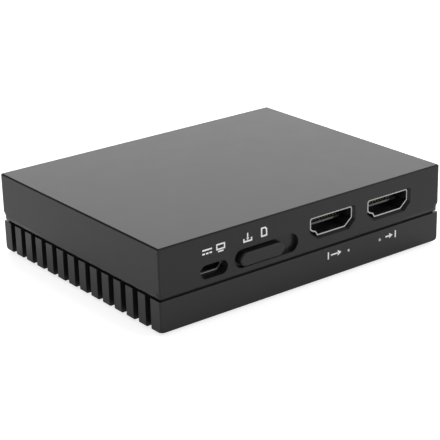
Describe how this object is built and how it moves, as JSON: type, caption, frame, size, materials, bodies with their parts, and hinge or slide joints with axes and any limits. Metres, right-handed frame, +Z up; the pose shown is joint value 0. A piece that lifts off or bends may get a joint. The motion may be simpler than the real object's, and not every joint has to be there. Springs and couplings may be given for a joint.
{
  "type": "video capture box",
  "caption": "Slim black video capture box with a side-grooved base, full-size video in and out sockets, a small power and data socket, light points and a slide switch.",
  "frame": {"origin": "middle of the plane that the feet rest on", "axes": "+X to the right as seen from the port side, the port side faces -Y, +Z up"},
  "size_m": [0.095, 0.0754, 0.0232],
  "materials": {
    "cover_black": "fine-blasted, black anodised",
    "base_black": "fine-blasted, black anodised",
    "foot_rubber": "matt",
    "screw_steel": "dark plated",
    "board_laminate": "black solder resist",
    "socket_steel": "bright plated",
    "socket_plastic": "moulded",
    "contact_gold": "gold plated",
    "switch_steel": "tin plated",
    "lever_plastic": "moulded",
    "knob_plastic": "fine texture",
    "led_body": "clear lens",
    "light_pipe": "clear, frosted end",
    "chip_epoxy": "moulded epoxy",
    "pad_rubber": "soft silicone",
    "crystal_steel": "satin lid",
    "ferrite": "pressed powder",
    "capacitor_can": "satin can",
    "capacitor_ceramic": "fired"
  },
  "bodies": {
    "housing": {"top_cover": "cover_black", "finned_base": "base_black", "rubber_feet": "foot_rubber", "housing_screws": "screw_steel", "circuit_board": "board_laminate", "out_socket_shell": "socket_steel", "out_socket_insulator": "socket_plastic", "out_socket_contacts": "contact_gold", "in_socket_shell": "socket_steel", "in_socket_insulator": "socket_plastic", "in_socket_contacts": "contact_gold", "power_socket_shell": "socket_steel", "power_socket_insulator": "socket_plastic", "power_socket_contacts": "contact_gold", "mode_switch_frame": "switch_steel", "mode_switch_base": "socket_plastic", "mode_switch_terminals": "switch_steel", "out_status_led": "led_body", "in_status_led": "led_body", "out_light_pipe": "light_pipe", "in_light_pipe": "light_pipe", "card_socket_frame": "socket_plastic", "card_socket_shell": "socket_steel", "card_socket_contacts": "contact_gold", "capture_chip": "chip_epoxy", "thermal_pad": "pad_rubber", "splitter_chip": "chip_epoxy", "memory_chip": "chip_epoxy", "flash_chip": "chip_epoxy", "clock_crystal": "crystal_steel", "power_inductors": "ferrite", "bulk_capacitors": "capacitor_can", "ceramic_capacitors": "capacitor_ceramic"},
    "mode_slider": {"mode_switch_lever": "lever_plastic", "mode_switch_knob": "knob_plastic"}
  },
  "joints": [
    {"name": "mode_slide", "type": "slide", "parent": "housing", "child": "mode_slider", "axis": [1, 0, 0], "range_m": [0, 0.004]}
  ]
}
